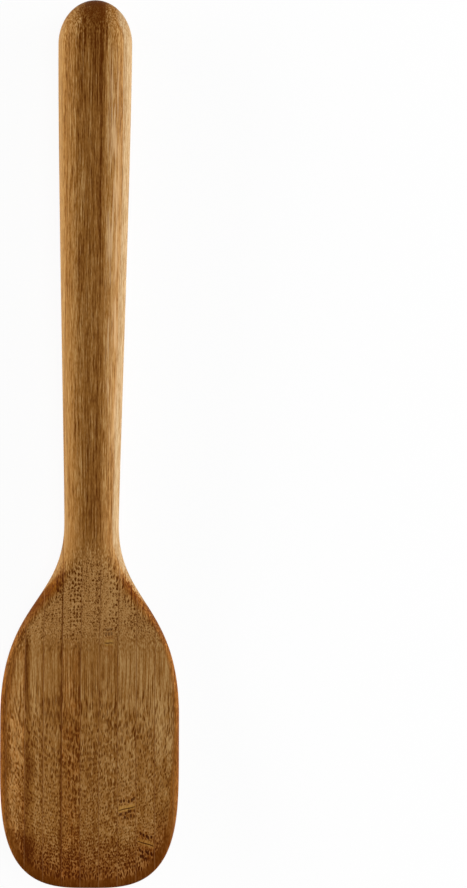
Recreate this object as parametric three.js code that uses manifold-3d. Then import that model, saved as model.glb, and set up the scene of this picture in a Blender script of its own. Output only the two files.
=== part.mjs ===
import * as THREE from 'three';
import { mergeVertices } from 'three/addons/utils/BufferGeometryUtils.js';
import Module from 'manifold-3d';

const wasm = await Module();
wasm.setup();

// A bamboo serving spoon that lies face up on a table. It was sawn from a board of bamboo
// strips glued side by side, so every strip runs the whole way along the spoon.
// +X is to the right, +Y runs from the tip of the blade to the end of the handle, +Z is up.
// The origin is under the middle of its length and width, at table height.
// Sizes are in millimetres, and places along the spoon are measured from the tip.

// Outline, seen from above.
const LENGTH = 310;
const BLADE_WIDTH = 62.7;
const NECK_WIDTH = 19.1;
const GRIP_WIDTH = 25.8;
const TIP_CURVE = 49.9; // length of the rounded tip, up to the full width of the blade
const TIP_SQUARENESS = 3.07; // 2 is an ellipse, more is squarer at the corners
const TIP_FULLNESS = 3.62; // how long the sides stay straight before the tip turns in
const SHOULDER_AT = 59.2; // where the full width starts to draw in to the neck
const NECK_AT = 126.8; // the narrowest place
const GRIP_FROM_END = 14; // from the widest place of the handle to its end
const END_CURVE = 15.4; // length of the rounded end

// Heights and thicknesses.
const GRIP_THICKNESS = 19;
const NECK_THICKNESS = 14.5;
const NECK_LIFT = 2.3; // gap between the neck and the table
const BLADE_THICKNESS = 4.8; // at the lowest place of the blade, before the flat is sanded
const TIP_THICKNESS = 3;
const REST_DEPTH = 0.4; // how deep the flat under the blade is sanded
const DISH_DEPTH = 3.2; // how much the sides of the blade stand above its middle
const RISE_AT = 76; // where the blade starts to curve up to the tip
const RISE_RADIUS = 270;

// The slope from the neck down into the blade.
const SLOPE_ANGLE = THREE.MathUtils.degToRad(22);
const SLOPE_FROM_NECK = 10.3; // from the neck to where the slope would meet its top line
const CREST_BLEND = 3.5; // how softly the slope meets the handle
const FOOT_BLEND = 2.2; // how softly it meets the floor of the blade

// Rounded edges.
const EDGE_ROUND = 1.8; // along the top of the rim
const UNDER_ROUND = 2.4; // along the underside of the rim
const SHOULDER_ROUND = 16; // the widest rounding of the shoulders
const HANDLE_FULLNESS = 2.3; // 2 makes an oval handle, more makes it squarer
const SHOULDER_FULLNESS = 1.75; // the same for the tops of the shoulders
const FULL_FROM = 105; // where the shoulders start to fill out
const FULL_AT = 145; // where they are as full as the handle

// The glued board.
const STRIP_PITCH = 6.5; // from one glue line to the next
const GLUE_THICKNESS = 0.2;
const NECK_STRIPS = 3; // strips that run through the neck from the blade to the handle
const THINNEST = 0.05; // a sliver thinner than this is sanded away

// Fineness of the surface.
const TIP_STEPS = 11;
const BLADE_STEPS = 4;
const SHOULDER_STEPS = 16;
const HANDLE_STEPS = 9;
const END_STEPS = 6;
const FLAT_RINGS = 5;
const ROUND_RINGS = 5;
const LEAST_FLAT = 0.5; // a flat narrower than this takes no rings of its own

const GRIP_AT = LENGTH - GRIP_FROM_END;
const FLOOR = BLADE_THICKNESS - REST_DEPTH;
const NECK_TOP = NECK_LIFT + NECK_THICKNESS;
const SLOPE_TOP_AT = NECK_AT - SLOPE_FROM_NECK;
const SLOPE_FOOT_AT = SLOPE_TOP_AT - (NECK_TOP - FLOOR) / Math.tan(SLOPE_ANGLE);
const TIP_HUB = TIP_CURVE / 2;

const { clamp, lerp, smoothstep } = THREE.MathUtils;

// A rounded quarter: 0 at the edge, 1 at the full height.
function roundness(share, fullness) {
  const rest = 1 - clamp(share, 0, 1);
  return (1 - rest ** fullness) ** (1 / fullness);
}

// The lower of two heights, with their meeting line rounded over.
function softMin(a, b, blend) {
  const near = Math.max(blend - Math.abs(a - b), 0) / Math.max(blend, 1e-9);
  return Math.min(a, b) - (near * near * blend) / 4;
}

function softMax(a, b, blend) {
  return -softMin(-a, -b, blend);
}

// A smooth change between two widths that starts and ends level. The two pulls are the
// lengths of the curve's handles, as shares of the distance.
function sCurve(place, from, to, startWidth, endWidth, startPull, endPull) {
  const share = clamp((place - from) / (to - from), 0, 1);
  let low = 0;
  let high = 1;
  for (let i = 0; i < 40; i += 1) {
    const t = (low + high) / 2;
    const r = 1 - t;
    const reached = 3 * r * r * t * startPull + 3 * r * t * t * (1 - endPull) + t ** 3;
    if (reached < share) low = t;
    else high = t;
  }
  return lerp(startWidth, endWidth, smoothstep(low, 0, 1));
}

// Half the width of the spoon at a place along it.
function halfWidth(s) {
  if (s <= 0 || s >= LENGTH) return 0;
  if (s < TIP_CURVE) {
    const turn = ((TIP_CURVE - s) / TIP_CURVE) ** TIP_FULLNESS;
    return (BLADE_WIDTH / 2) * (1 - turn) ** (1 / TIP_SQUARENESS);
  }
  if (s < NECK_AT) {
    return sCurve(s, SHOULDER_AT, NECK_AT, BLADE_WIDTH / 2, NECK_WIDTH / 2, 0.594, 0.41);
  }
  const side = sCurve(s, NECK_AT, GRIP_AT, NECK_WIDTH / 2, GRIP_WIDTH / 2, 0.1, 0.25);
  const pastEnd = clamp((s - (LENGTH - END_CURVE)) / END_CURVE, 0, 1);
  return side * Math.sqrt(1 - pastEnd ** 2);
}

// Height of the middle of the blade's floor, which is level and then curves up to the tip.
function floorHeight(s) {
  const run = Math.max(RISE_AT - s, 0);
  return FLOOR + RISE_RADIUS - Math.sqrt(RISE_RADIUS ** 2 - run ** 2);
}

function bladeThickness(s) {
  return lerp(TIP_THICKNESS, BLADE_THICKNESS, clamp(s / RISE_AT, 0, 1));
}

// How far the dish has lifted the blade at a distance from its middle line.
function dishLift(x) {
  return DISH_DEPTH * (x / (BLADE_WIDTH / 2)) ** 2;
}

function hollowHeight(x, s) {
  const slope = NECK_TOP + (s - SLOPE_TOP_AT) * Math.tan(SLOPE_ANGLE);
  return softMax(floorHeight(s), slope, FOOT_BLEND) + dishLift(x);
}

function handleTop(s) {
  return lerp(NECK_TOP, GRIP_THICKNESS, clamp((s - NECK_AT) / (GRIP_AT - NECK_AT), 0, 1));
}

function handleUnderside(s) {
  return lerp(NECK_LIFT, 0, clamp((s - NECK_AT) / (GRIP_AT - NECK_AT), 0, 1));
}

// 0 on the blade and 1 on the handle, changing along the shoulders.
function handleShare(s) {
  return smoothstep(s, SLOPE_FOOT_AT, NECK_AT);
}

// How square the top is across, from the shoulders up into the handle.
function topFullness(s) {
  const share = clamp((s - FULL_FROM) / (FULL_AT - FULL_FROM), 0, 1);
  return lerp(SHOULDER_FULLNESS, HANDLE_FULLNESS, share);
}

function undersideHeight(x, s) {
  const blade = floorHeight(s) - bladeThickness(s) + dishLift(x);
  return Math.max(lerp(blade, handleUnderside(s), handleShare(s)), 0);
}

// Height of the middle of the edge, where the top and the underside meet.
function edgeHeight(edge) {
  const blade = floorHeight(edge.y) + dishLift(edge.x) - bladeThickness(edge.y) / 2;
  const handle = (handleTop(edge.y) + handleUnderside(edge.y)) / 2;
  return lerp(blade, handle, handleShare(edge.y));
}

// How far the rounding of the underside reaches in from the edge: right to the middle on
// the handle. The reach is the distance from the middle of the spoon to its edge.
function undersideRound(edge, reach) {
  return lerp(UNDER_ROUND, reach, handleShare(edge.y));
}

function topSurface(x, s, inset, edge, reach) {
  const rim = edgeHeight(edge);
  const round = Math.min(reach, SHOULDER_ROUND);
  const handle = rim + (handleTop(s) - rim) * roundness(inset / round, topFullness(s));
  const hollow = rim + (hollowHeight(x, s) - rim) * roundness(inset / EDGE_ROUND, 2);
  return softMin(handle, hollow, CREST_BLEND * roundness(inset / (2 * EDGE_ROUND), 2));
}

function undersideSurface(x, s, inset, edge, reach) {
  const rim = edgeHeight(edge);
  const drop = rim - undersideHeight(x, s);
  return rim - drop * roundness(inset / undersideRound(edge, reach), HANDLE_FULLNESS);
}

// A place on the right edge. The first unit of the walk fans round the tip, the second
// goes along the side and the third fans round the end of the handle.
function edgePoint(walk) {
  const hub = lerp(TIP_HUB, GRIP_AT, clamp(walk - 1, 0, 1));
  const turn = (Math.PI / 2) * (clamp(walk, 0, 1) + clamp(walk - 2, 0, 1));
  let low = 0;
  let high = LENGTH;
  for (let i = 0; i < 50; i += 1) {
    const reach = (low + high) / 2;
    if (reach * Math.sin(turn) < halfWidth(hub - reach * Math.cos(turn))) low = reach;
    else high = reach;
  }
  return new THREE.Vector2(low * Math.sin(turn), hub - low * Math.cos(turn));
}

// The steps of the walk round the right edge, closer together where the edge curves.
function edgeWalk() {
  const walks = [];
  const along = (s) => 1 + (s - TIP_HUB) / (GRIP_AT - TIP_HUB);
  const run = (from, to, steps) => {
    for (let i = 0; i < steps; i += 1) walks.push(lerp(from, to, i / steps));
  };
  run(0, 1, TIP_STEPS);
  run(1, along(SHOULDER_AT), BLADE_STEPS);
  run(along(SHOULDER_AT), along(NECK_AT), SHOULDER_STEPS);
  run(along(NECK_AT), 2, HANDLE_STEPS);
  run(2, 3, END_STEPS);
  walks.push(3);
  return walks;
}

// One line of points from the middle of the spoon out to its edge, on each face.
function crossLine(walk) {
  const edge = edgePoint(walk);
  const along = edgePoint(walk + 0.001).sub(edgePoint(walk - 0.001));
  const outward = new THREE.Vector2(along.y, -along.x).normalize();
  const middle = new THREE.Vector2(0, clamp(edge.y, TIP_HUB, GRIP_AT));
  const reach = edge.clone().sub(middle).dot(outward);
  const flat = reach - undersideRound(edge, reach);
  const round = flat < LEAST_FLAT ? 1 : 1 - flat / reach;
  const shares = [];
  for (let i = 0; i < FLAT_RINGS; i += 1) shares.push((1 - round) * (i / FLAT_RINGS));
  for (let i = 0; i <= ROUND_RINGS; i += 1) {
    shares.push(1 - round * (1 - Math.sin((Math.PI / 2) * (i / ROUND_RINGS))));
  }
  const line = { top: [], underside: [] };
  for (const share of shares) {
    const point = middle.clone().lerp(edge, share);
    const inset = (1 - share) * reach;
    const y = point.y - LENGTH / 2;
    line.top.push([point.x, y, topSurface(point.x, point.y, inset, edge, reach)]);
    line.underside.push([point.x, y, undersideSurface(point.x, point.y, inset, edge, reach)]);
  }
  return line;
}

// Two triangles for each patch between neighbouring lines, turned over on request.
function skin(lines, face, side, flip) {
  const points = [];
  const put = (a, b, c) => {
    const order = flip ? [a, c, b] : [a, b, c];
    for (const [x, y, z] of order) points.push(side * x, y, z);
  };
  for (let i = 0; i + 1 < lines.length; i += 1) {
    const here = lines[i][face];
    const next = lines[i + 1][face];
    for (let j = 0; j + 1 < here.length; j += 1) {
      put(here[j], here[j + 1], next[j + 1]);
      put(here[j], next[j + 1], next[j]);
    }
  }
  return points;
}

// Joins equal points and leaves out triangles that have shrunk to a line.
function closedGeometry(points) {
  const loose = new THREE.BufferGeometry();
  loose.setAttribute('position', new THREE.Float32BufferAttribute(points, 3));
  const merged = mergeVertices(loose, 1e-3);
  const index = merged.index.array;
  const kept = [];
  for (let i = 0; i < index.length; i += 3) {
    const [a, b, c] = [index[i], index[i + 1], index[i + 2]];
    if (a !== b && b !== c && c !== a) kept.push(a, b, c);
  }
  merged.setIndex(kept);
  return merged;
}

function spoonGeometry() {
  const lines = edgeWalk().map(crossLine);
  return closedGeometry([
    ...skin(lines, 'top', 1, false),
    ...skin(lines, 'underside', 1, true),
    ...skin(lines, 'top', -1, true),
    ...skin(lines, 'underside', -1, false),
  ]);
}

function toSolid(geometry) {
  const plain = geometry.clone();
  plain.deleteAttribute('normal');
  plain.deleteAttribute('uv');
  const merged = mergeVertices(plain);
  return new wasm.Manifold(new wasm.Mesh({
    numProp: 3,
    vertProperties: new Float32Array(merged.attributes.position.array),
    triVerts: new Uint32Array(merged.index.array),
  }));
}

function toGeometry(solid) {
  const mesh = solid.getMesh();
  const geometry = new THREE.BufferGeometry();
  geometry.setAttribute('position', new THREE.BufferAttribute(mesh.vertProperties, 3));
  geometry.setIndex(new THREE.BufferAttribute(mesh.triVerts, 1));
  geometry.computeVertexNormals();
  return geometry;
}

// A block between two distances from the middle line, tall enough to span the spoon.
function block(xFrom, xTo, yFrom, yTo) {
  const box = new THREE.BoxGeometry(2, 2, 2);
  const corner = box.attributes.position;
  for (let i = 0; i < corner.count; i += 1) {
    corner.setXYZ(
      i,
      corner.getX(i) < 0 ? xFrom : xTo,
      corner.getY(i) < 0 ? yFrom : yTo,
      corner.getZ(i) * LENGTH,
    );
  }
  return toSolid(box);
}

const BAMBOO_TONES = [0x8f673a, 0x9a7142, 0x87602f, 0xa07848];
const GLUE_TONE = 0x4a2a1c;

const spoon = new THREE.Group();
const whole = toSolid(spoonGeometry());
const NECK_Y = NECK_AT - LENGTH / 2;
const BEYOND = LENGTH;

function addPiece(name, color, xFrom, xTo, yFrom, yTo) {
  const solid = whole.intersect(block(xFrom, xTo, yFrom, yTo));
  const material = new THREE.MeshStandardMaterial({ color, roughness: 0.5, metalness: 0 });
  const piece = new THREE.Mesh(toGeometry(solid), material);
  piece.name = name;
  spoon.add(piece);
}

// Adds what the spoon holds of one layer of the board, on one side of the middle. A layer
// that the neck cuts through is in two pieces, one in the blade and one in the handle.
function addLayer(name, color, side, inner, outer, throughNeck) {
  const xFrom = side < 0 ? -outer : inner;
  const xTo = side < 0 ? -inner : outer;
  if (throughNeck) {
    addPiece(name, color, xFrom, xTo, -BEYOND, BEYOND);
    return;
  }
  const inHandle = GRIP_WIDTH / 2 - inner > THINNEST;
  addPiece(inHandle ? `${name}_blade` : name, color, xFrom, xTo, -BEYOND, NECK_Y);
  if (inHandle) addPiece(`${name}_handle`, color, xFrom, xTo, NECK_Y, BEYOND);
}

const halfGlue = GLUE_THICKNESS / 2;
const glueLines = [];
for (let x = STRIP_PITCH / 2; BLADE_WIDTH / 2 - x > halfGlue + THINNEST; x += STRIP_PITCH) {
  glueLines.push(x);
}

const centreHalf = glueLines[0] - halfGlue;
addPiece('centre_strip', BAMBOO_TONES[0], -centreHalf, centreHalf, -BEYOND, BEYOND);
for (const [sideName, side] of [['left', -1], ['right', 1]]) {
  glueLines.forEach((x, i) => {
    const outer = i + 1 < glueLines.length ? glueLines[i + 1] - halfGlue : BEYOND;
    const tone = BAMBOO_TONES[(i + 1) % BAMBOO_TONES.length];
    const through = 2 * i + 1 < NECK_STRIPS;
    addLayer(`${sideName}_glue_${i + 1}`, GLUE_TONE, side, x - halfGlue, x + halfGlue, through);
    addLayer(`${sideName}_strip_${i + 1}`, tone, side, x + halfGlue, outer, through);
  });
}

export default spoon;
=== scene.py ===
import math
from collections import namedtuple

import bmesh
import bpy
import numpy as np
from mathutils import Matrix, Vector


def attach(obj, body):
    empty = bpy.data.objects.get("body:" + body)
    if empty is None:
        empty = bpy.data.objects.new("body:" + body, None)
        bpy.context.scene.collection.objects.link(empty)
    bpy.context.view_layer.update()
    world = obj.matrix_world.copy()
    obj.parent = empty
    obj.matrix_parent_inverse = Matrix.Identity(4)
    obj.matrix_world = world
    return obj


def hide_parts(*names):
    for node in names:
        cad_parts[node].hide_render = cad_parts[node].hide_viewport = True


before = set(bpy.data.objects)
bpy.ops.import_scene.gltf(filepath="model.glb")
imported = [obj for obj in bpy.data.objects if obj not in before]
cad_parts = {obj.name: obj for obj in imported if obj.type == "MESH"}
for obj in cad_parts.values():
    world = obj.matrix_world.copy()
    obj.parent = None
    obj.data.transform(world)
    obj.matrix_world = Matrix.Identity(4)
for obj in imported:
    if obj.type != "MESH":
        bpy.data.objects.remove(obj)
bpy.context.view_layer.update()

# A bamboo serving spoon, glued up from strips, lies face up on a white table and is seen
# from straight above. Sizes in the shape section are in millimetres, and places along the
# spoon are measured from the tip of its blade.

# Outline
LENGTH = 310.0
BLADE_HALF = 31.35
NECK_HALF = 9.55
GRIP_HALF = 12.9
TIP_CURVE = 49.9
TIP_SQUARENESS = 3.07
TIP_FULLNESS = 3.62
SHOULDER_AT = 59.2
NECK_AT = 126.8
GRIP_AT = 296.0
END_CURVE = 15.4
SHOULDER_PULLS = (0.594, 0.41)
HANDLE_PULLS = (0.1, 0.25)

# Heights and thicknesses
GRIP_THICKNESS = 19.0
NECK_LIFT = 2.3
NECK_TOP = 16.8
BLADE_THICKNESS = 4.8
TIP_THICKNESS = 3.0
FLOOR_HEIGHT = 4.4
DISH_DEPTH = 3.2
RISE_AT = 76.0
RISE_RADIUS = 270.0
SLOPE = math.tan(math.radians(22.0))
SLOPE_TOP_AT = 116.5
SLOPE_FOOT_AT = SLOPE_TOP_AT - (NECK_TOP - FLOOR_HEIGHT) / SLOPE
CREST_BLEND = 3.5
FOOT_BLEND = 2.2
EDGE_ROUND = 1.8
UNDER_ROUND = 2.4
SHOULDER_ROUND = 16.0
HANDLE_FULLNESS = 2.3
SHOULDER_FULLNESS = 1.75
FULL_FROM = 105.0
FULL_AT = 145.0
TIP_HUB = TIP_CURVE / 2

# Glued board
STRIP_PITCH = 6.5
HALF_GLUE = 0.1
STRIP_WIDTH = STRIP_PITCH - 2 * HALF_GLUE
LINES_PER_SIDE = 5
BEYOND = 400.0

# Fineness of the surface
STEP = 0.8
FAN_STEPS = 60
FLAT_RINGS = 20
ROUND_RINGS = 12
LEAST_FLAT = 0.5
CURVE_STEPS = 2001
HALVINGS = 40
WALK_NUDGE = 1e-3
TINY = 1e-9
# Joining and cutting the meshes, in metres
MERGE_DISTANCE = 2e-6
CUT_TOLERANCE = 1e-7


def smooth(value, low=0.0, high=1.0):
    share = np.clip((value - low) / (high - low), 0, 1)
    return share * share * (3 - 2 * share)


def mix(a, b, share):
    return a + (b - a) * share


def roundness(share, fullness):
    """A rounded quarter: 0 at the edge, 1 at the full height."""
    rest = 1 - np.clip(share, 0, 1)
    return (1 - rest ** fullness) ** (1 / fullness)


def soft_min(a, b, blend):
    near = np.maximum(blend - np.abs(a - b), 0) / np.maximum(blend, TINY)
    return np.minimum(a, b) - near * near * blend / 4


def s_curve(place, start, end, start_width, end_width, pulls):
    """A width that goes smoothly from one to another, with a pull at each end."""
    start_pull, end_pull = pulls
    t = np.linspace(0, 1, CURVE_STEPS)
    r = 1 - t
    reached = 3 * r * r * t * start_pull + 3 * r * t * t * (1 - end_pull) + t ** 3
    share = np.interp((place - start) / (end - start), reached, t)
    return mix(start_width, end_width, smooth(share))


def half_width(s):
    """Half the width of the spoon at a place along it."""
    turn = (np.clip(TIP_CURVE - s, 0, TIP_CURVE) / TIP_CURVE) ** TIP_FULLNESS
    tip = BLADE_HALF * (1 - turn) ** (1 / TIP_SQUARENESS)
    blade = s_curve(s, SHOULDER_AT, NECK_AT, BLADE_HALF, NECK_HALF, SHOULDER_PULLS)
    handle = s_curve(s, NECK_AT, GRIP_AT, NECK_HALF, GRIP_HALF, HANDLE_PULLS)
    past_end = np.clip((s - (LENGTH - END_CURVE)) / END_CURVE, 0, 1)
    handle = handle * np.sqrt(1 - past_end ** 2)
    width = np.where(s < TIP_CURVE, tip, np.where(s < NECK_AT, blade, handle))
    return np.where((s <= 0) | (s >= LENGTH), 0, width)


def floor_height(s):
    run = np.maximum(RISE_AT - s, 0)
    return FLOOR_HEIGHT + RISE_RADIUS - np.sqrt(RISE_RADIUS ** 2 - run ** 2)


def blade_thickness(s):
    return mix(TIP_THICKNESS, BLADE_THICKNESS, np.clip(s / RISE_AT, 0, 1))


def dish_lift(x):
    return DISH_DEPTH * (x / BLADE_HALF) ** 2


def hollow_height(x, s):
    slope = NECK_TOP + (s - SLOPE_TOP_AT) * SLOPE
    return -soft_min(-floor_height(s), -slope, FOOT_BLEND) + dish_lift(x)


def handle_run(s):
    return np.clip((s - NECK_AT) / (GRIP_AT - NECK_AT), 0, 1)


def handle_top(s):
    return mix(NECK_TOP, GRIP_THICKNESS, handle_run(s))


def handle_underside(s):
    return mix(NECK_LIFT, 0, handle_run(s))


def handle_share(s):
    return smooth(s, SLOPE_FOOT_AT, NECK_AT)


def fullness(s):
    share = np.clip((s - FULL_FROM) / (FULL_AT - FULL_FROM), 0, 1)
    return mix(SHOULDER_FULLNESS, HANDLE_FULLNESS, share)


def underside_height(x, s):
    blade = floor_height(s) - blade_thickness(s) + dish_lift(x)
    return np.maximum(mix(blade, handle_underside(s), handle_share(s)), 0)


def rim_height(x, s):
    blade = floor_height(s) + dish_lift(x) - blade_thickness(s) / 2
    handle = (handle_top(s) + handle_underside(s)) / 2
    return mix(blade, handle, handle_share(s))


def edge_point(walk):
    """A place on the right edge: round the tip, along the side, round the end."""
    hub = mix(TIP_HUB, GRIP_AT, np.clip(walk - 1, 0, 1))
    turn = math.pi / 2 * (np.clip(walk, 0, 1) + np.clip(walk - 2, 0, 1))
    low = np.zeros_like(walk)
    high = np.full_like(walk, LENGTH)
    for _ in range(HALVINGS):
        reach = (low + high) / 2
        inside = reach * np.sin(turn) < half_width(hub - reach * np.cos(turn))
        low = np.where(inside, reach, low)
        high = np.where(inside, high, reach)
    return low * np.sin(turn), hub - low * np.cos(turn)


def surface_grid():
    """Points of the right half, walk by ring: x, s, top, underside and inset."""
    side_steps = int((GRIP_AT - TIP_HUB) / STEP)
    walk = np.concatenate([
        np.linspace(0, 1, FAN_STEPS, endpoint=False),
        np.linspace(1, 2, side_steps, endpoint=False),
        np.linspace(2, 3, FAN_STEPS // 2 + 1),
    ])
    edge_x, edge_s = edge_point(walk)
    ahead_x, ahead_s = edge_point(walk + WALK_NUDGE)
    behind_x, behind_s = edge_point(walk - WALK_NUDGE)
    out_x, out_s = ahead_s - behind_s, behind_x - ahead_x
    size = np.hypot(out_x, out_s)
    middle_s = np.clip(edge_s, TIP_HUB, GRIP_AT)
    reach = (edge_x * out_x + (edge_s - middle_s) * out_s) / size
    under_round = mix(UNDER_ROUND, reach, handle_share(edge_s))
    flat = reach - under_round
    rounded = np.where(flat < LEAST_FLAT, 1, 1 - flat / reach)
    flat_rings = np.arange(FLAT_RINGS) / FLAT_RINGS
    round_rings = 1 - np.sin(np.linspace(0, math.pi / 2, ROUND_RINGS + 1))
    share = np.concatenate([
        (1 - rounded)[:, None] * flat_rings,
        1 - rounded[:, None] * round_rings,
    ], axis=1)
    x = share * edge_x[:, None]
    s = middle_s[:, None] + share * (edge_s - middle_s)[:, None]
    inset = (1 - share) * reach[:, None]
    rim = rim_height(edge_x, edge_s)[:, None]
    round_top = np.minimum(reach, SHOULDER_ROUND)[:, None]
    handle = rim + (handle_top(s) - rim) * roundness(inset / round_top, fullness(s))
    hollow = rim + (hollow_height(x, s) - rim) * roundness(inset / EDGE_ROUND, 2)
    top = soft_min(handle, hollow, CREST_BLEND * roundness(inset / (2 * EDGE_ROUND), 2))
    drop = rim - underside_height(x, s)
    under = rim - drop * roundness(inset / under_round[:, None], HANDLE_FULLNESS)
    return x, s, top, under, inset


class Skin:
    """The whole outer surface as points, insets and four-sided faces."""

    def __init__(self):
        x, s, top, under, inset = surface_grid()
        rows, columns = x.shape
        corner = np.arange(rows * columns).reshape(rows, columns)
        a, b = corner[:-1, :-1].ravel(), corner[:-1, 1:].ravel()
        c, d = corner[1:, 1:].ravel(), corner[1:, :-1].ravel()
        points, faces = [], []
        for side in (1, -1):
            for height, upper in ((top, True), (under, False)):
                first = len(points) * x.size
                quad = np.stack([a, b, c, d], axis=1) + first
                faces.append(quad if upper == (side == 1) else quad[:, ::-1])
                point = np.stack([side * x, s - LENGTH / 2, height], axis=-1)
                points.append(point.reshape(-1, 3))
        self.points = np.concatenate(points)
        self.faces = np.concatenate(faces)
        self.inset = np.tile(inset.ravel(), 4)

    def piece(self, name, x_from, x_to, keep_y):
        """The solid between two distances from the middle line."""
        place = self.points[self.faces]
        x, y = place[..., 0], place[..., 1]
        near = (x.max(axis=1) > x_from) & (x.min(axis=1) < x_to) & keep_y(y.mean(axis=1))
        faces = self.faces[near]
        used, index = np.unique(faces, return_inverse=True)
        body = bmesh.new()
        depth = body.verts.layers.float.new("inset")
        verts = [body.verts.new(self.points[i] / 1000) for i in used]
        for vert, i in zip(verts, used):
            vert[depth] = self.inset[i]
        for quad in index.reshape(faces.shape):
            body.faces.new([verts[i] for i in quad])
        bmesh.ops.remove_doubles(body, verts=body.verts, dist=MERGE_DISTANCE)
        for face in body.faces:
            face.smooth = True
        for cut, outward in ((x_from, -1), (x_to, 1)):
            whole = body.verts[:] + body.edges[:] + body.faces[:]
            bmesh.ops.bisect_plane(
                body, geom=whole, dist=CUT_TOLERANCE, plane_co=(cut / 1000, 0, 0),
                plane_no=(outward, 0, 0), clear_outer=True,
            )
        open_edges = [edge for edge in body.edges if edge.is_boundary]
        caps = bmesh.ops.holes_fill(body, edges=open_edges, sides=0)["faces"]
        for edge in open_edges:
            edge.smooth = False
        bmesh.ops.triangulate(body, faces=caps)
        mesh = bpy.data.meshes.new(name)
        body.to_mesh(mesh)
        body.free()
        return mesh


def srgb(red, green, blue):
    """A colour written as 0 to 255, as the shaders want it."""
    def linear(value):
        value /= 255
        return value / 12.92 if value <= 0.04045 else ((value + 0.055) / 1.055) ** 2.4
    return (linear(red), linear(green), linear(blue), 1.0)


# Every noise swings about this value.
NOISE_MIDDLE = 0.5


class Field:
    """A number that varies over the surface, for writing shader sums as plain sums."""

    def __init__(self, graph, socket):
        self.graph = graph
        self.socket = socket

    def __add__(self, other):
        return self.graph.math("ADD", self, other)

    def __sub__(self, other):
        return self.graph.math("SUBTRACT", self, other)

    def __mul__(self, other):
        return self.graph.math("MULTIPLY", self, other)

    def __truediv__(self, other):
        return self.graph.math("DIVIDE", self, other)

    __radd__ = __add__
    __rmul__ = __mul__

    def __rsub__(self, other):
        return self.graph.math("SUBTRACT", other, self)

    def step(self, low, high, start=0.0, end=1.0):
        """Goes smoothly from start to end as this goes from low to high."""
        node = self.graph.node("ShaderNodeMapRange", interpolation_type="SMOOTHSTEP")
        for slot, value in enumerate((self, low, high, start, end)):
            self.graph.put(node.inputs[slot], value)
        return Field(self.graph, node.outputs[0])

    def size(self):
        """This without its sign."""
        return self.graph.math("ABSOLUTE", self)

    def most(self, other):
        return self.graph.math("MAXIMUM", self, other)

    def swing(self, amount=1.0):
        """How far this noise is from its middle, times an amount."""
        return (self - NOISE_MIDDLE) * amount


class Graph:
    """A material's nodes. Places are in millimetres, with y from the spoon's middle."""

    def __init__(self, name):
        self.material = bpy.data.materials.new(name)
        self.material.use_nodes = True
        self.tree = self.material.node_tree
        self.tree.nodes.clear()

    def node(self, kind, **settings):
        made = self.tree.nodes.new(kind)
        for key, value in settings.items():
            setattr(made, key, value)
        return made

    def put(self, socket, value):
        if isinstance(value, Field):
            self.tree.links.new(value.socket, socket)
        elif isinstance(value, bpy.types.NodeSocket):
            self.tree.links.new(value, socket)
        else:
            socket.default_value = value

    def math(self, operation, *values):
        made = self.node("ShaderNodeMath", operation=operation)
        for slot, value in enumerate(values):
            self.put(made.inputs[slot], value)
        return Field(self, made.outputs[0])

    def vector(self, x, y, z):
        made = self.node("ShaderNodeCombineXYZ")
        for slot, value in enumerate((x, y, z)):
            self.put(made.inputs[slot], value)
        return made.outputs[0]

    def split(self, socket):
        made = self.node("ShaderNodeSeparateXYZ")
        self.put(made.inputs[0], socket)
        return [Field(self, out) for out in made.outputs]

    def place(self):
        """Place, and how far the surface faces the handle's end, or the tip if negative."""
        coordinates = self.node("ShaderNodeTexCoord")
        x, y, z = (value * 1000 for value in self.split(coordinates.outputs["Object"]))
        return x, y, z, self.split(coordinates.outputs["Normal"])[1]

    def noise_node(self, vector, detail, roughness):
        made = self.node("ShaderNodeTexNoise")
        self.put(made.inputs["Vector"], vector)
        self.put(made.inputs["Scale"], 1.0)
        self.put(made.inputs["Detail"], detail)
        self.put(made.inputs["Roughness"], roughness)
        return made

    def noise(self, vector, detail=1.0, roughness=0.5):
        return Field(self, self.noise_node(vector, detail, roughness).outputs[0])

    def noises(self, vector, detail=1.0, roughness=0.5):
        """Three noises that have nothing to do with each other."""
        return self.split(self.noise_node(vector, detail, roughness).outputs["Color"])

    def cells(self, x, y, randomness):
        """Distance to the nearest point of a loose grid, and that point's own numbers."""
        made = self.node("ShaderNodeTexVoronoi", voronoi_dimensions="2D")
        self.put(made.inputs["Vector"], self.vector(x, y, 0.0))
        self.put(made.inputs["Scale"], 1.0)
        self.put(made.inputs["Randomness"], randomness)
        return Field(self, made.outputs["Distance"]), self.split(made.outputs["Color"])

    def blend(self, share, first, second, mode="MIX"):
        made = self.node("ShaderNodeMix", data_type="RGBA", blend_type=mode)
        self.put(made.inputs[0], share)
        self.put(made.inputs[6], first)
        self.put(made.inputs[7], second)
        return made.outputs[2]

    def finish(self, color, roughness, height, relief, specular):
        """Relief is the depth of the bumps, and specular is the same all over."""
        shader = self.node("ShaderNodeBsdfPrincipled")
        self.put(shader.inputs["Base Color"], color)
        self.put(shader.inputs["Roughness"], roughness)
        self.put(shader.inputs["Specular IOR Level"], specular)
        bump = self.node("ShaderNodeBump")
        bump.inputs["Strength"].default_value = 1.0
        bump.inputs["Distance"].default_value = relief / 1000
        self.put(bump.inputs["Height"], height)
        self.tree.links.new(bump.outputs[0], shader.inputs["Normal"])
        out = self.node("ShaderNodeOutputMaterial")
        self.tree.links.new(shader.outputs[0], out.inputs[0])
        return self.material


# Wood from dark to pale, and cut across the fibres
DARK = srgb(84, 40, 3)
WOOD = srgb(136, 90, 38)
PALE = srgb(182, 143, 90)
END_GRAIN = srgb(176, 130, 76)
RED_TINT = srgb(255, 226, 186)
# Painted shade on what faces the handle's end, and the darker shoulders and tip
PAINTED_END_SHADE = srgb(92, 46, 8)
SHOULDER_LEFT = srgb(206, 168, 92)
SHOULDER_RIGHT = srgb(192, 152, 76)
TIP_RIM_DARK = srgb(92, 45, 3)
TIP_TINT = srgb(222, 194, 164)
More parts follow.
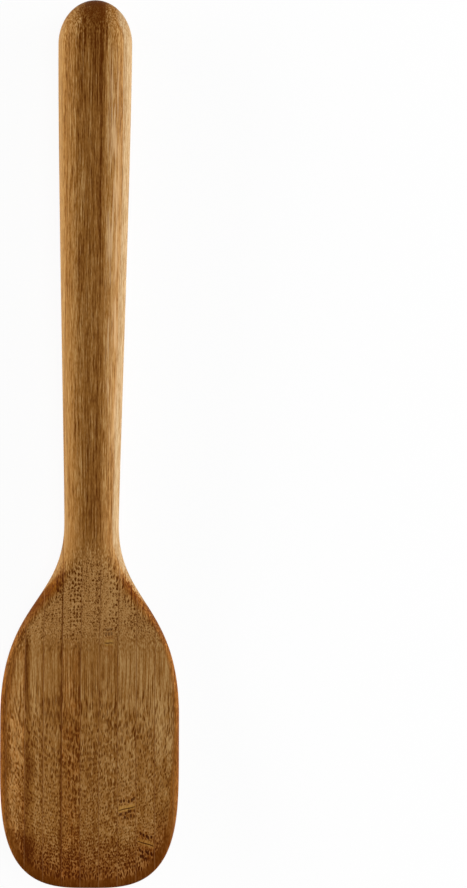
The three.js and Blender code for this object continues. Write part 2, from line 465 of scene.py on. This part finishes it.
# Sides of the handle, paler partly from wear and partly from painted light, with a painted
# sheen and a painted reflection
# Golden left side: partly wear, partly painted light
GOLDEN_WEAR_AND_LIGHT = srgb(152, 108, 54)
PALE_EDGE = srgb(172, 138, 92)
# Tan right side: partly wear, partly painted light
TAN = srgb(164, 124, 76)
# Painted sheen
PAINTED_SHEEN = srgb(196, 162, 120)
# Cream right side: partly wear, partly painted reflection
CREAM = srgb(172, 146, 110)
CREAM_DARK = srgb(140, 108, 68)
# Rim of the blade
RIM_DARK = srgb(82, 36, 2)
RIM_PALE = srgb(146, 90, 32)
RIM_EDGE = srgb(128, 78, 28)
# Knots
KNOT_PALE = srgb(172, 128, 60)
KNOT_DARK = srgb(62, 24, 2)
KNOT_RED = srgb(142, 84, 30)

# Noises that follow the fibres: size across, along and through the strip in millimetres,
# then detail and roughness
FINE_IN_BLADE = (0.27, 3.6, 0.18)
FINE_IN_HANDLE = (0.26, 4.4, 0.34)
GRAIN = (0.32, 14, 0.40, 2.0, 0.6)
LINES = (0.34, 36, 1.2)
SPECKS = (0.30, 1.1, 0.30, 0.0)
TONES = (2.2, 60, 3.0, 2.0)
# Fibre bundles: spacing across and through the strip in millimetres, then randomness
LARGE_BUNDLES = (1.14, 0.54, 0.6)
DASHES = (0.37, 0.23, 0.9)
DOTS = (0.66, 0.29, 0.85)

# Zones along the spoon, each from the y where it starts to the y where it is full
WAVES = (-82, -102)
LONG_LINES = (-104, -84)
BUNDLES_IN_DISH = (-86, -96)
DASHES_IN_DISH = (-78, -96)
DASHES_AT_TIP = (-128, -146)
DOTS_AT_TIP = (-132, -146)
DARK_TIP = (-135, -154)
RED_BLADE = (-60, -84)
SLOPE_FOOT = (-75, -62)
SLOPE_TOP = (-32, -46)
BUNDLES_AT_FOOT = (-70, -54)
BUNDLES_AT_TOP = (-36, -49)
PALE_FOOT = (-74, -58)
HANDLE = (-60, -30)
HANDLE_FIBRES = (-44, -28)
HANDLE_TONE = (-48, -20)
DOME = (135, 143)
BEFORE_END = (152, 143)
GOLDEN_SIDE = (-66, -40)
TAN_SIDE = (-52, -36)
TAN_GROWS = (-20, 50)
TAN_FADES = (85, 125)
SHEEN_FROM = (-14, 14)
SHEEN_TO = (142, 124)
CREAM_SIDE = (-60, -51)
CREAM_AT_NECK = (-34, -36)
CREAM_BELOW_NECK = (-38, -50)
CREAM_NEAR_END = (105, 140)
SHOULDER_FROM = (-67, -56)
SHOULDER_TO = (-42, -50)
LEFT_SHOULDER = (-60, -50)
RIGHT_SHOULDER = (-53, -60)
LEFT_RIM = (-45, -60)
RIGHT_RIM = (-51, -62)
RIM_AT_SHOULDER = (-72, -64)
RIM_AT_TIP = (-105, -122)
GLUE_LIKE_HANDLE = (-50, -36)

# Pattern and finish of the wood
SEED_PER_MM = 7.31
MIDDLE_SHARE = 0.59
MEAN_ROUGHNESS = 0.5
RELIEF = 0.03
SPECULAR = 0.015

# A knot reaches a share of the strip's width to each side of the middle. Its second row of
# dashes lies this far toward the tip, or toward the handle where that is negative.
Knot = namedtuple("Knot", "y tilt reach paleness darkness second_row")
Streak = namedtuple("Streak", "x half_width start end darkness")
Stain = namedtuple("Stain", "x y half_width half_length darkness")

# How a strip differs from the others. Tone makes it paler, handle adds to that above the
# neck, coarse sets how strongly its large bundles show, contrast how strongly its fibres
# do, red tints it, and soak darkens its right edge.
Look = namedtuple("Look", "tone handle coarse contrast red soak knots streaks stains",
                  defaults=(0.0, 0.0, 1.0, 1.0, 0.0, 0.08, (), (), ()))

# Darker patches that cross several strips: the middle of the handle's end, and the shoulders
SHARED_DARK_PATCHES = [
    Stain(0.6, 150.0, 3.9, 36.0, 0.22), Stain(-7.2, -49.5, 3.0, 6.5, 0.11),
    Stain(12.8, -50.0, 2.2, 7.0, 0.24), Stain(17.5, -61.5, 3.2, 7.0, 0.12),
]


class Wood(Graph):
    """Bamboo. The fibre bundles are dark cylinders that run along Y through the solid wood,
    so they show as dots where the surface cuts across them and as streaks elsewhere."""

    def __init__(self, name, middle, look):
        super().__init__(name)
        self.x, self.y, self.z, self.end_on = self.place()
        self.look = look
        self.middle = middle
        self.seed = middle * SEED_PER_MM
        self.inset = Field(self, self.node(
            "ShaderNodeAttribute", attribute_name="inset").outputs["Fac"])
        self.across = (self.x - middle) / STRIP_WIDTH + 0.5
        self.right = self.x.step(-1, 1)
        self.on_handle = self.y.step(*HANDLE)

    def paint(self, share, color, mode="MIX"):
        """Covers a share of the wood with a colour."""
        self.color = self.blend(share, self.color, color, mode)

    def bend_fibres(self):
        """The fibres wander a little, and wave near the tip of the blade."""
        x, y, z, seed = self.x, self.y, self.z, self.seed
        drift_x, drift_z, _ = self.noises(self.vector(x / 9 + seed, y / 55, z / 9), 2.0)
        wave_x, wave_z, _ = self.noises(self.vector(x / 2.6 - seed, y / 3.6, z / 2))
        wavy = y.step(*WAVES)
        self.fibre_x = x + drift_x.swing(1.2) + wave_x.swing(0.8) * wavy
        self.fibre_z = z + drift_z.swing(1.2) + wave_z.swing(0.25) * wavy
        self.drift, self.wave = drift_x, wave_x

    def fibre_noise(self, across, along, through, detail=1.0, roughness=0.5, turn=1):
        """Noise that follows the fibres. Turn keeps it apart from others of its size."""
        place = self.vector(self.fibre_x / across + self.seed * turn, self.y / along,
                            self.fibre_z / through)
        return self.noise(place, detail, roughness)

    def add_noises(self):
        x, y, z, seed = self.x, self.y, self.z, self.seed
        blade = self.fibre_noise(*FINE_IN_BLADE)
        handle = self.fibre_noise(*FINE_IN_HANDLE)
        self.fine = blade + (handle - blade) * y.step(*HANDLE_FIBRES)
        self.grain = self.fibre_noise(*GRAIN)
        self.lines = self.fibre_noise(*LINES, turn=-1)
        self.specks = self.fibre_noise(*SPECKS, turn=-1)
        self.tones = self.fibre_noise(*TONES)
        self.patches = self.noise(self.vector(x / 3.2 + seed, y / 9, z / 5), 1.6)
        # Marks have blotched edges in the blade, and streaked edges in the handle.
        self.uneven = self.patches.swing() * (1.0 - self.on_handle * 0.7)
        self.uneven = self.uneven + self.lines.swing() * self.on_handle

    def bundles(self, across, through, randomness, turn=1):
        """Bundles of this spacing: distance to the nearest, and its own numbers."""
        return self.cells(self.fibre_x / across + self.seed * turn,
                          self.fibre_z / through, randomness)

    def add_bundles(self):
        """Large bundles, mostly in the right half of a strip, and small ones all over."""
        y, coarse = self.y, self.look.coarse
        self.slope_foot = y + self.patches.swing(16)
        dome = y.step(*DOME) * 0.6
        self.slope = self.slope_foot.step(*SLOPE_FOOT) * y.step(*SLOPE_TOP) + dome
        large = self.slope * y.step(*BUNDLES_AT_FOOT, 0.35, 0.9)
        large = large * y.step(*BUNDLES_AT_TOP, 0.2, 1.0)
        large = (large + y.step(*BUNDLES_IN_DISH) * 0.42 + 0.08) * coarse
        large = large * self.across.step(0.5 - 0.3 * coarse, 0.9 - 0.3 * coarse)
        far, chance = self.bundles(*LARGE_BUNDLES)
        self.big = far.step(0.42, 0.18) * chance[0].step(0.0, 0.5) * large
        self.halo = far.step(0.38, 0.60) * large
        far, chance = self.bundles(*DASHES, turn=-1)
        dashes = far.step(0.50, 0.14) * chance[1].step(0.15, 0.75)
        far, chance = self.bundles(*DOTS, turn=-1)
        dots = far.step(0.48, 0.16) * chance[1].step(0.0, 0.5) * 1.35
        dotted = self.slope + y.step(*DOTS_AT_TIP) * 0.65
        self.small = dashes + (dots - dashes) * dotted
        self.ring = (far - 0.52).size().step(0.16, 0.04) * dotted

    def weigh_fibres(self):
        """The fibres' tone about its middle, from all the noises."""
        x, y, handle = self.x, self.y, self.on_handle
        corner = x.size().step(10, 28, 0, 7) + x.step(18, 29, 0, 6)
        self.tip = (y - corner + self.patches.swing(14)).step(*DARK_TIP)
        self.fibres = (
            self.tones.swing() * (0.34 - handle * 0.10)
            + self.lines.swing() * (y.step(*LONG_LINES, 0.10, 0.70) + handle * 0.10)
            + self.grain.swing() * (0.26 - handle * 0.16 + self.tip * 0.4)
            + self.fine.swing() * (y.step(*LONG_LINES, 0.80, 0.60) + handle * 0.50)
            + self.specks.swing() * (0.34 + self.slope * 0.80)
            + self.patches.swing() * (0.24 - handle * 0.16 + self.tip * 0.4)
        )

    def weigh_marks(self):
        """The share of pale wood: 0 is dark and 1 is pale."""
        x, y, look = self.x, self.y, self.look
        share = MIDDLE_SHARE + look.tone + y.step(*HANDLE_TONE) * look.handle
        share = share - self.tip * 0.02 - self.slope * 0.08 + self.fibres * look.contrast
        share = share + self.halo * (0.14 + self.slope * 0.12) + self.ring * 0.20
        weight = y.step(*DASHES_IN_DISH, 0.34, 0.80) + y.step(*DASHES_AT_TIP) * 0.34
        weight = weight - self.slope * 0.15
        share = share - self.big * 0.6 - self.small * weight
        edge = (1.0 - self.across) * STRIP_WIDTH - self.patches.swing(2.4)
        share = share - edge.step(0.95, 0.25) * look.soak
        for streak in look.streaks:
            line = (x + self.drift.swing(0.8) - streak.x).size()
            line = line.step(streak.half_width, streak.half_width * 0.3)
            line = line * self.grain.step(0.2, 0.6, 0.55, 1.0)
            line = line * (y - streak.end).step(-10.0, 12.0, 0.3, 1.0)
            share = share - line * (y - streak.start).step(3.0, -5.0) * streak.darkness
        for stain in [*look.stains, *SHARED_DARK_PATCHES]:
            off_x = (x - stain.x) / stain.half_width
            off_y = (y - stain.y) / stain.half_length
            far = off_x * off_x + off_y * off_y + self.uneven * 2.5
            share = share - far.step(1.3, 0.3) * stain.darkness
        self.share = share
        self.pale_fibre = share.step(0.0, 0.6)

    def color_fibres(self):
        ramp = self.node("ShaderNodeValToRGB")
        stops = ramp.color_ramp.elements
        stops[0].position, stops[0].color = 0.0, DARK
        stops[1].position, stops[1].color = 1.0, PALE
        stops.new(0.5).color = WOOD
        self.put(ramp.inputs[0], self.share)
        self.color = ramp.outputs[0]
        if self.look.red:
            reddish = self.grain.step(0.42, 0.56) * self.patches.step(0.38, 0.60) + 0.3
            reddish = reddish * self.look.red * self.y.step(*RED_BLADE)
            self.paint(reddish, RED_TINT, "MULTIPLY")

    def add_knot(self, knot):
        """A pair of pale wisps, split by a dark line, between rows of dark dashes."""
        offset = (self.y - knot.y) - (self.x - self.middle) * knot.tilt
        offset = offset + self.wave.swing(0.9)
        near = offset.size()
        window = (self.across - 0.52).size().step(knot.reach, knot.reach - 0.12)
        self.paint(near.step(7.0, 1.0) * window * knot.darkness * 0.3, KNOT_RED)
        wisp = (offset - 0.2).size().step(1.3, 0.5) * self.grain.step(0.38, 0.56, 0.2, 0.85)
        self.paint(wisp * window * knot.paleness, KNOT_PALE)
        far, _ = self.cells(self.x / 1.05 + knot.y, offset / 2.0, 0.7)
        first_row = (offset - 2.5).size().step(1.4, 0.8)
        second_row = (offset + knot.second_row).size().step(2.2, 1.2)
        dashes = first_row.most(second_row) * far.step(0.42, 0.26)
        dark = dashes.most(near.step(0.26, 0.10))
        self.paint(dark * window * knot.darkness, KNOT_DARK)

    def pale_the_slope(self):
        """Fibres cut across look paler."""
        pale = self.end_on + self.grain.swing(0.25) + self.patches.swing(0.25)
        pale = pale.step(-0.06, -0.36) * self.pale_fibre
        self.paint(pale * self.slope_foot.step(*PALE_FOOT, 0.30, 0.52), END_GRAIN)

    def paint_sides_wear_and_light(self):
        """The sides of the handle are paler, golden on the left and cream on the right:
        partly wear, partly painted light on the lit sides, with a painted sheen right of the
        middle and a painted reflection in the cream.
        """
        x, y, z, right = self.x, self.y, self.z, self.right
        left = (1.0 - right) * y.step(*GOLDEN_SIDE)
        before_end = (y + self.inset).step(*BEFORE_END)
        ragged = self.ragged = self.inset + self.grain.swing(2.0)
        golden = left * ragged.step(6.0, 2.0) * self.pale_fibre * before_end
        # Golden left side and paler left edge: partly wear, partly painted light
        self.paint(golden * 0.4, GOLDEN_WEAR_AND_LIGHT)
        self.paint(left * ragged.step(2.0, 0.6) * before_end * 0.35, PALE_EDGE)
        # Tan right side: partly wear, partly painted light from the right
        tan = right * y.step(*TAN_SIDE) * (ragged + self.uneven * 7).step(6.4, 4.2)
        tan = tan * self.pale_fibre * before_end
        tan = tan * y.step(*TAN_GROWS, 0.25, 0.65) * y.step(*TAN_FADES, 1.0, 0.4)
        self.paint(tan, TAN)
        # A mottled painted sheen right of the middle of the handle
        sheen = self.noise(
            self.vector(self.fibre_x / 0.8 + self.seed, y / 20, z / 3), 3.0, 0.6)
        sheen = sheen.step(0.46, 0.60) * x.step(3.4, 5.6) * x.step(9.4, 7.4)
        self.paint(sheen * y.step(*SHEEN_FROM) * y.step(*SHEEN_TO) * 0.58, PAINTED_SHEEN)
        # The cream side narrows below the neck, and widens near the handle's end.
        cream = ragged - (y + 35) * 0.075 * y.step(*CREAM_AT_NECK)
        cream = cream + y.step(*CREAM_BELOW_NECK) * 0.7 - y.step(*CREAM_NEAR_END) * 0.6
        cream = cream.step(3.1, 2.0)
        cream = cream * before_end.most(x.step(6.5, 9.0))
        # Cream right side: partly wear, partly a painted reflection
        creamy = self.blend(
            (self.share - self.look.tone).step(0.25, 0.80), CREAM_DARK, CREAM)
        self.paint(right * y.step(*CREAM_SIDE) * cream * 0.95, creamy)

    def paint_end_shade_and_dark_tip(self):
        """The tip and the shoulders beside the neck are darker, and painted shade darkens
        what faces the handle's end: its rounded end and the rising tip.
        """
        x, y, right = self.x, self.y, self.right
        # Darker towards the tip
        self.paint(self.tip, TIP_TINT, "MULTIPLY")
        # Painted shade on surfaces that face the handle's end
        end = (x + self.patches.swing(6)).size().step(1.0, 8.0, 0.80, 0.15)
        end = end * self.end_on.step(0.05, 0.60) * (1.2 - self.share * 0.8)
        self.paint(end, PAINTED_END_SHADE)
        reach = y.step(*LEFT_SHOULDER, 1.7, 4.4) * (1.0 - right) + right * 3.4
        edge = (self.inset - (y + right.step(0, 1, 51, 57)) * 0.19).step(0.0, 0.5)
        shoulder = y.step(*SHOULDER_FROM) * y.step(*SHOULDER_TO) * edge
        shoulder = shoulder * (self.ragged - reach).step(2.0, -1.8)
        self.shoulder = shoulder * (1.0 - right * y.step(*RIGHT_SHOULDER) * 0.6)
        tint = self.blend(right, SHOULDER_LEFT, SHOULDER_RIGHT)
        self.paint(self.shoulder, tint, "MULTIPLY")

    def darken_rim(self):
        """The rim of the blade is dark, with a paler line along its edge."""
        y, inset, right = self.y, self.inset, self.right
        zone = (y.step(*LEFT_RIM) * (1.0 - right) + y.step(*RIGHT_RIM) * right) * 0.8
        tone = inset.step(0.4, 1.2, -0.10, 0.10) - y.step(*RIM_AT_SHOULDER) * 0.18
        rim = self.blend((self.fibres + right * tone).step(-0.28, 0.28), RIM_DARK, RIM_PALE)
        rim = self.blend(self.shoulder * (0.95 - right * 0.8), rim, RIM_DARK)
        rim = self.blend(self.tip * 0.95, rim, TIP_RIM_DARK)
        ragged = inset + self.patches.swing(2.4) + self.grain.swing(1.6)
        self.paint(ragged.step(3.7, 2.0) * zone * (1.0 - right), rim)
        self.paint((ragged - y.step(*RIM_AT_TIP)).step(2.6, 1.5) * zone * right, rim)
        self.paint(inset.step(0.14, 0.04) * zone * 0.5, RIM_EDGE)

    def finish_wood(self):
        roughness = MEAN_ROUGHNESS + self.fine.swing(0.2) + self.patches.swing(0.2)
        roughness = roughness + self.big * 0.10
        height = self.fine * 0.4 + self.grain * 0.4 - self.big * 0.5 - self.small * 0.3
        return self.finish(self.color, roughness, height, RELIEF, SPECULAR)


def bamboo(name, middle, look):
    """One strip's wood. Middle is the strip's place across the spoon."""
    wood = Wood(name, middle, look)
    wood.bend_fibres()
    wood.add_noises()
    wood.add_bundles()
    wood.weigh_fibres()
    wood.weigh_marks()
    wood.color_fibres()
    for knot in look.knots:
        wood.add_knot(knot)
    wood.pale_the_slope()
    wood.paint_sides_wear_and_light()
    wood.paint_end_shade_and_dark_tip()
    wood.darken_rim()
    return wood.finish_wood()


GLUE_RELIEF = 0.01
GLUE_SPECULAR = 0.04


def glue(name, dark, pale):
    """Glue, stained in the blade, and in the handle coloured like the wood beside it: cream
    from wear and a painted reflection, and painted shade at the handle's end.
    """
    graph = Graph(name)
    x, y, z, end_on = graph.place()
    stain = graph.noise(graph.vector(x / 4, y / 6, z / 4), 3.0)
    color = graph.blend(stain.step(0.35, 0.65), dark, pale)
    fibres = graph.noise(graph.vector(x / 0.35, y / 7, z / 0.35))
    cream = graph.blend(fibres.step(0.35, 0.60), CREAM_DARK, CREAM)
    # Cream of wear and painted reflection on the right, as on the wood beside it
    wear_and_reflection = graph.blend(x.step(5, 9), WOOD, cream)
    color = graph.blend(y.step(*GLUE_LIKE_HANDLE) * 0.9, color, wear_and_reflection)
    # Painted shade where the glue faces the handle's end
    end = end_on.step(0.05, 0.60) * x.size().step(7, 3)
    color = graph.blend(end * 0.9, color, PAINTED_END_SHADE)
    roughness = stain.step(0.3, 0.7, 0.45, 0.6)
    return graph.finish(color, roughness, stain, GLUE_RELIEF, GLUE_SPECULAR)


THICK_GLUE = ("thick_glue", srgb(84, 40, 10), srgb(112, 66, 30))
THIN_GLUE = ("thin_glue", srgb(104, 60, 26), srgb(132, 88, 46))

# Tones and marks of the strips, from the middle outward on each side
STRIPS = {
    "centre_strip": Look(
        tone=-0.01, handle=-0.11, coarse=0.7, soak=0.0,
        streaks=[Streak(1.9, 0.55, 200.0, 50.0, 0.26)],
        stains=[Stain(0.0, -16.0, 3.4, 26.0, 0.10), Stain(1.5, -82.0, 2.6, 14.0, -0.06)],
    ),
    "left_strip_1": Look(
        tone=0.02, coarse=1.25, contrast=1.1, red=0.5,
        stains=[Stain(-4.2, 122.0, 3.0, 26.0, 0.14), Stain(-4.2, 142.0, 1.8, 7.0, 0.24),
                Stain(-3.4, 152.0, 2.6, 9.0, 0.14), Stain(-4.0, 66.0, 1.8, 20.0, 0.14),
                Stain(-8.6, -82.0, 1.6, 20.0, 0.08), Stain(-6.5, -120.0, 6.0, 32.0, 0.09)],
    ),
    "left_strip_2_blade": Look(tone=-0.02, coarse=0.6, soak=0.4),
    "left_strip_2_handle": Look(tone=0.04, coarse=0.5, contrast=1.35),
    "left_strip_3": Look(
        tone=0.06, coarse=0.6, soak=0.2,
        streaks=[Streak(-22.4, 1.6, -66.0, -90.0, 0.60),
                 Streak(-21.2, 2.4, -108.0, -146.0, 0.26)],
        stains=[Stain(-22.0, -142.0, 4.5, 8.0, 0.25),
                Stain(-20.5, -104.0, 2.0, 16.0, 0.14)],
    ),
    "left_strip_4": Look(
        tone=0.10, coarse=0.6, contrast=1.5, red=0.55,
        streaks=[Streak(-24.3, 0.9, -78.0, -112.0, -0.12)],
        stains=[Stain(-22.0, -142.0, 4.5, 8.0, 0.25), Stain(-23.5, -124.0, 2.5, 12.0, 0.14),
                Stain(-28.6, -104.0, 1.6, 20.0, 0.18)],
    ),
    "left_strip_5": Look(tone=-0.13, coarse=0.5, contrast=1.4, red=0.6),
    "right_strip_1": Look(
        tone=0.02, handle=0.04, coarse=1.1,
        knots=[Knot(-69.9, 0.05, 0.30, 0.95, 0.85, -3.6)],
        stains=[Stain(3.2, 141.0, 1.4, 6.0, 0.30), Stain(6.4, -16.0, 2.0, 18.0, 0.20),
                Stain(8.2, 122.0, 1.6, 14.0, 0.18), Stain(7.0, -54.0, 2.6, 9.0, -0.16)],
    ),
    "right_strip_2_blade": Look(
        tone=0.06, coarse=0.8,
        knots=[Knot(-127.5, 0.20, 0.50, 0.95, 0.9, 2.0)],
        stains=[Stain(16.0, -82.0, 2.4, 14.0, -0.10), Stain(14.2, -114.0, 1.6, 14.0, -0.10),
                Stain(12.0, -143.0, 2.6, 7.0, 0.12)],
    ),
    "right_strip_2_handle": Look(tone=0.06, coarse=0.4, contrast=1.2, soak=0.0),
    "right_strip_3": Look(
        tone=0.05, coarse=0.6,
        knots=[Knot(-139.5, -0.35, 0.50, 0.8, 1.0, 3.8)],
        stains=[Stain(19.5, -86.0, 3.5, 18.0, -0.10), Stain(17.0, -122.0, 2.5, 14.0, 0.12)],
    ),
    "right_strip_4": Look(
        tone=0.10, coarse=0.6,
        stains=[Stain(23.0, -98.0, 3.0, 14.0, -0.16), Stain(30.0, -102.0, 3.0, 10.0, -0.20),
                Stain(25.5, -125.0, 3.5, 12.0, 0.12), Stain(29.5, -124.0, 4.0, 14.0, 0.20)],
    ),
    "right_strip_5": Look(tone=0.05, coarse=0.5, contrast=1.2),
}


def all_along(y):
    return y < BEYOND


def in_blade(y):
    return y < NECK_AT - LENGTH / 2


def in_handle(y):
    return y > NECK_AT - LENGTH / 2


def add_piece(skin, node, x_from, x_to, keep_y, material):
    mesh = skin.piece(node + "_fine", x_from, x_to, keep_y)
    mesh.materials.append(material)
    piece = bpy.data.objects.new(node + "_fine", mesh)
    bpy.context.scene.collection.objects.link(piece)
    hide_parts(node)
    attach(piece, "root")


def add_strip(skin, node, middle, x_from, x_to, keep_y):
    add_piece(skin, node, x_from, x_to, keep_y, bamboo(node, middle, STRIPS[node]))


def build_spoon():
    """The strips and the glue lines between them, outward from the middle."""
    skin = Skin()
    thick_glue = glue(*THICK_GLUE)
    thin_glue = glue(*THIN_GLUE)
    lines = [STRIP_PITCH * (k + 0.5) for k in range(LINES_PER_SIDE)]
    inner = lines[0] - HALF_GLUE
    add_strip(skin, "centre_strip", 0.0, -inner, inner, all_along)
    for name, side in (("left", -1), ("right", 1)):
        for k, line in enumerate(lines, 1):
            outer = lines[k] - HALF_GLUE if k < LINES_PER_SIDE else BEYOND
            film = sorted((side * (line - HALF_GLUE), side * (line + HALF_GLUE)))
            strip = sorted((side * (line + HALF_GLUE), side * outer))
            material = thick_glue if side < 0 and k == 2 else thin_glue
            parts = [("", all_along)]
            if k == 2:
                parts = [("_blade", in_blade), ("_handle", in_handle)]
            for ending, keep_y in parts:
                add_piece(skin, f"{name}_glue_{k}{ending}", *film, keep_y, material)
                add_strip(skin, f"{name}_strip_{k}{ending}", side * k * STRIP_PITCH,
                          *strip, keep_y)


# Camera, in metres, looking down from a little to the left of the spoon, with the
# photograph's framing. It aims at one height, and its scale is right at the other.
PIXEL = 0.3495e-3
ROWS = 888
FRAME_HEIGHT = ROWS * PIXEL
CAMERA_HEIGHT = 1.8
CAMERA_SIDE = -0.059
AIM_HEIGHT = 0.006
SCALE_HEIGHT = 0.010
SENSOR_HEIGHT = 24.0
SPOON_LEFT = 142.2 * PIXEL
SPOON_UP = 0.4 * PIXEL
LEAN = math.radians(0.45)


def add_camera():
    lens = bpy.data.cameras.new("camera")
    lens.sensor_fit = "VERTICAL"
    lens.sensor_height = SENSOR_HEIGHT
    camera = bpy.data.objects.new("camera", lens)
    turned = Matrix.Rotation(LEAN, 4, "Z")
    camera.location = turned @ Vector((CAMERA_SIDE, -SPOON_UP, CAMERA_HEIGHT))
    swing = math.atan2(SPOON_LEFT - CAMERA_SIDE, CAMERA_HEIGHT - AIM_HEIGHT)
    depth = CAMERA_HEIGHT - SCALE_HEIGHT
    depth = depth * math.cos(swing) - CAMERA_SIDE * math.sin(swing)
    lens.lens = SENSOR_HEIGHT * depth / FRAME_HEIGHT
    camera.rotation_euler = (turned @ Matrix.Rotation(-swing, 4, "Y")).to_euler()
    bpy.context.scene.collection.objects.link(camera)
    bpy.context.scene.camera = camera


# Studio, in metres and watts. Each softbox faces the middle of the floor.
SOFTBOXES = [
    ("right_softbox", (1.2, 0.05, 0.24), (1.5, 0.44), 32.0),
    ("left_softbox", (-1.2, 0.05, 0.24), (1.5, 0.44), 26.0),
    ("high_softbox", (0.25, 0.05, 1.0), (1.2, 0.5), 4.0),
]
WORLD_LIGHT = 0.05
FLOOR_REACH = 3.0
FLOOR_DROP = 0.0002
FLOOR_WHITE = (0.95, 0.95, 0.95, 1)
FLOOR_GLOW = 0.93


def add_softbox(name, place, size, power):
    light = bpy.data.lights.new(name, "AREA")
    light.shape = "RECTANGLE"
    light.size, light.size_y = size
    light.energy = power
    lamp = bpy.data.objects.new(name, light)
    lamp.location = place
    x, y, z = place
    tilt, turn = math.atan2(math.hypot(x, y), z), math.atan2(-x, y) + math.pi
    lamp.rotation_euler = (tilt, 0, turn)
    bpy.context.scene.collection.objects.link(lamp)


def floor_material():
    """White, and glowing for the camera and in gloss so that the background is white."""
    graph = Graph("floor_white")
    shader = graph.node("ShaderNodeBsdfDiffuse")
    shader.inputs[0].default_value = FLOOR_WHITE
    glow = graph.node("ShaderNodeEmission")
    rays = graph.node("ShaderNodeLightPath")
    seen = graph.math(
        "MAXIMUM", rays.outputs["Is Camera Ray"], rays.outputs["Is Glossy Ray"])
    both = graph.node("ShaderNodeMixShader")
    graph.put(both.inputs[0], seen * FLOOR_GLOW)
    graph.put(both.inputs[1], shader.outputs[0])
    graph.put(both.inputs[2], glow.outputs[0])
    out = graph.node("ShaderNodeOutputMaterial")
    graph.put(out.inputs[0], both.outputs[0])
    return graph.material


def add_studio():
    mesh = bpy.data.meshes.new("floor")
    reach = FLOOR_REACH
    corners = [(-reach, -reach, 0), (reach, -reach, 0), (reach, reach, 0), (-reach, reach, 0)]
    mesh.from_pydata(corners, [], [(0, 1, 2, 3)])
    mesh.materials.append(floor_material())
    floor = bpy.data.objects.new("floor", mesh)
    floor.location = (0, 0, -FLOOR_DROP)
    bpy.context.scene.collection.objects.link(floor)
    for softbox in SOFTBOXES:
        add_softbox(*softbox)
    world = bpy.data.worlds.new("studio")
    world.use_nodes = True
    background = world.node_tree.nodes["Background"]
    background.inputs[0].default_value = (1, 1, 1, 1)
    background.inputs[1].default_value = WORLD_LIGHT
    bpy.context.scene.world = world
    bpy.context.scene.view_settings.view_transform = "Standard"


build_spoon()
add_camera()
add_studio()
